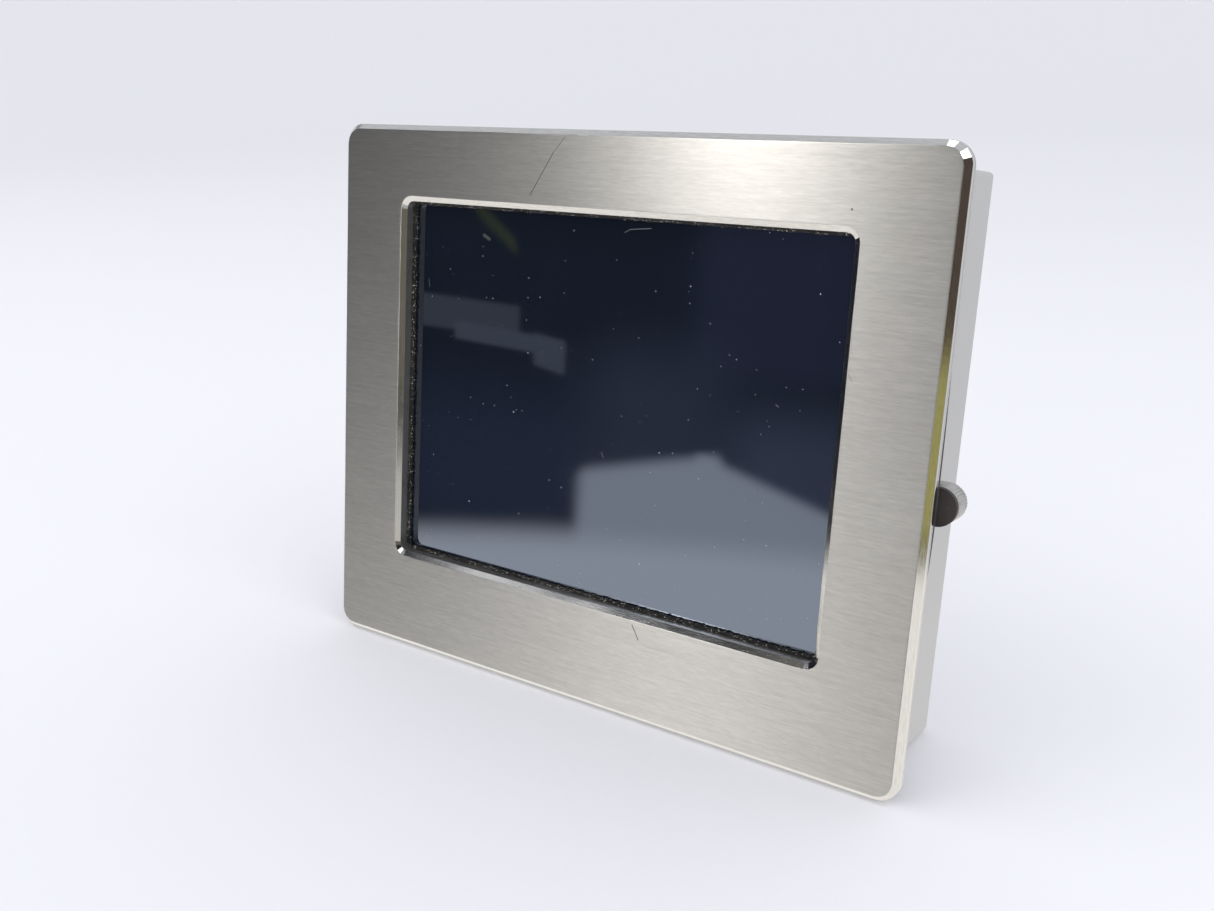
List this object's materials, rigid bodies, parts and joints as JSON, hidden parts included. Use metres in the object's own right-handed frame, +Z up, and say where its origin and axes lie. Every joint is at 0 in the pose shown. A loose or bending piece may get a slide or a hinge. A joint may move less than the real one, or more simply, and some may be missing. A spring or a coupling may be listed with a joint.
{
  "type": "touch operator panel",
  "caption": "Flush-mounted touch operator panel: brushed steel front plate, touch display, sheet-metal housing with a connector bay, and swing-out side clamps.",
  "frame": {"origin": "centre of the front plate's back face, the plane of the panel it is mounted in", "axes": "+X to the right seen from the front, +Y from the front to the rear, +Z up"},
  "size_m": [0.168, 0.0416, 0.1346],
  "materials": {
    "aluminium": "extruded",
    "bezel_steel": "bare sheet",
    "black_foam": "open foam with dust",
    "black_plastic": "moulded",
    "bracket_sheet": "galvanised look",
    "brass": "turned",
    "brushed_steel": "horizontally brushed face, polished bevels",
    "card_plastic": "moulded",
    "cell_glass": "dark",
    "cell_steel": "satin",
    "chip_plastic": "moulded",
    "circuit_board": "solder mask",
    "clear_glass": "clear",
    "ferrite": "pressed",
    "flex_film": "amber film",
    "guide_steel": "bare sheet",
    "header_plastic": "moulded",
    "holder_plastic": "moulded",
    "housing_paint": "fine powder coat",
    "lamp_board": "white solder mask",
    "lamp_plastic": "light pipe",
    "pad_rubber": "moulded",
    "pawl_metal": "die cast",
    "plate_film": "blank rating plate",
    "plug_plastic": "moulded",
    "port_metal": "tinned shell",
    "screw_steel": "zinc plated",
    "seal_rubber": "matt",
    "sleeve": "shrink sleeve",
    "socket_metal": "tinned",
    "socket_plastic": "moulded",
    "touch_screen": "glossy, dark when off",
    "white_plastic": "smooth",
    "zinc_steel": "zinc plated"
  },
  "bodies": {
    "panel": {"front_frame": "brushed_steel", "screen_gasket": "black_foam", "mounting_gasket": "seal_rubber", "touch_film": "touch_screen", "touch_glass": "clear_glass", "touch_tail": "flex_film", "display_gasket": "black_foam", "display_bezel": "bezel_steel", "display_cell": "cell_glass", "diffuser_sheets": "white_plastic", "light_guide": "white_plastic", "backlight_strip": "lamp_board", "display_tray": "white_plastic", "display_cable": "flex_film", "frame_studs": "zinc_steel", "lower_pillars": "brass", "carrier_bracket": "bracket_sheet", "upper_pillars": "brass", "rear_housing": "housing_paint", "housing_screws": "zinc_steel", "connector_bay": "housing_paint", "bay_rivets": "aluminium", "rating_plate": "plate_film", "earth_stud": "zinc_steel", "earth_washer": "zinc_steel", "earth_nut": "brass", "board_spacers": "zinc_steel", "main_board": "circuit_board", "board_screws": "zinc_steel", "board_connectors": "socket_plastic", "processor": "chip_plastic", "heat_sink": "aluminium", "memory_chips": "chip_plastic", "capacitors": "sleeve", "power_coils": "ferrite", "battery_holder": "holder_plastic", "battery": "cell_steel", "power_header": "header_plastic", "serial_socket": "port_metal", "serial_posts": "zinc_steel", "ethernet_socket": "socket_metal", "usb_socket": "socket_metal", "mode_switch": "port_metal", "card_socket": "port_metal", "reset_switch": "chip_plastic", "status_lamps": "lamp_plastic", "clamp_guides": "guide_steel"},
    "power_plug": {"power_plug": "plug_plastic", "plug_screws": "zinc_steel"},
    "mode_lever": {"mode_lever": "black_plastic"},
    "memory_card": {"memory_card": "card_plastic"},
    "reset_button": {"reset_button": "black_plastic"},
    "right_screw": {"right_clamp_screw": "screw_steel"},
    "right_nut": {"right_clamp_nut": "brass"},
    "right_pawl": {"right_pawl": "pawl_metal", "right_pawl_pad": "pad_rubber"},
    "left_screw": {"left_clamp_screw": "screw_steel"},
    "left_nut": {"left_clamp_nut": "brass"},
    "left_pawl": {"left_pawl": "pawl_metal", "left_pawl_pad": "pad_rubber"}
  },
  "joints": [
    {"name": "right_screw_turn", "type": "hinge", "parent": "panel", "child": "right_screw", "pos_m": [0.07, 0.0294, -0.004], "axis": [0, -1, 0], "range_deg": [-978, 2366]},
    {"name": "right_clamp_feed", "type": "slide", "parent": "panel", "child": "right_nut", "axis": [0, 1, 0], "range_m": [-0.0019, 0.0046]},
    {"name": "right_pawl_swing", "type": "hinge", "parent": "right_nut", "child": "right_pawl", "pos_m": [0.07, 0.0078, -0.004], "axis": [0, -1, 0], "range_deg": [0, 90]},
    {"name": "left_screw_turn", "type": "hinge", "parent": "panel", "child": "left_screw", "pos_m": [-0.07, 0.0294, -0.004], "axis": [0, -1, 0], "range_deg": [-978, 2366]},
    {"name": "left_clamp_feed", "type": "slide", "parent": "panel", "child": "left_nut", "axis": [0, 1, 0], "range_m": [-0.0019, 0.0046]},
    {"name": "left_pawl_swing", "type": "hinge", "parent": "left_nut", "child": "left_pawl", "pos_m": [-0.07, 0.0078, -0.004], "axis": [0, 1, 0], "range_deg": [0, 90]},
    {"name": "power_plug_pull", "type": "slide", "parent": "panel", "child": "power_plug", "axis": [0, 0, -1], "range_m": [0, 0.016]},
    {"name": "memory_card_pull", "type": "slide", "parent": "panel", "child": "memory_card", "axis": [0, 0, -1], "range_m": [0, 0.034]},
    {"name": "mode_lever_slide", "type": "slide", "parent": "panel", "child": "mode_lever", "axis": [1, 0, 0], "range_m": [0, 0.002]},
    {"name": "reset_button_press", "type": "slide", "parent": "panel", "child": "reset_button", "axis": [0, -1, 0], "range_m": [0, 0.001], "stiffness_N_per_m": 400, "springref_m": -0.0012}
  ],
  "couplings": [
    {"joint": "right_screw_turn", "follows": "right_clamp_feed", "rad_per_m": 8976},
    {"joint": "left_screw_turn", "follows": "left_clamp_feed", "rad_per_m": 8976}
  ]
}
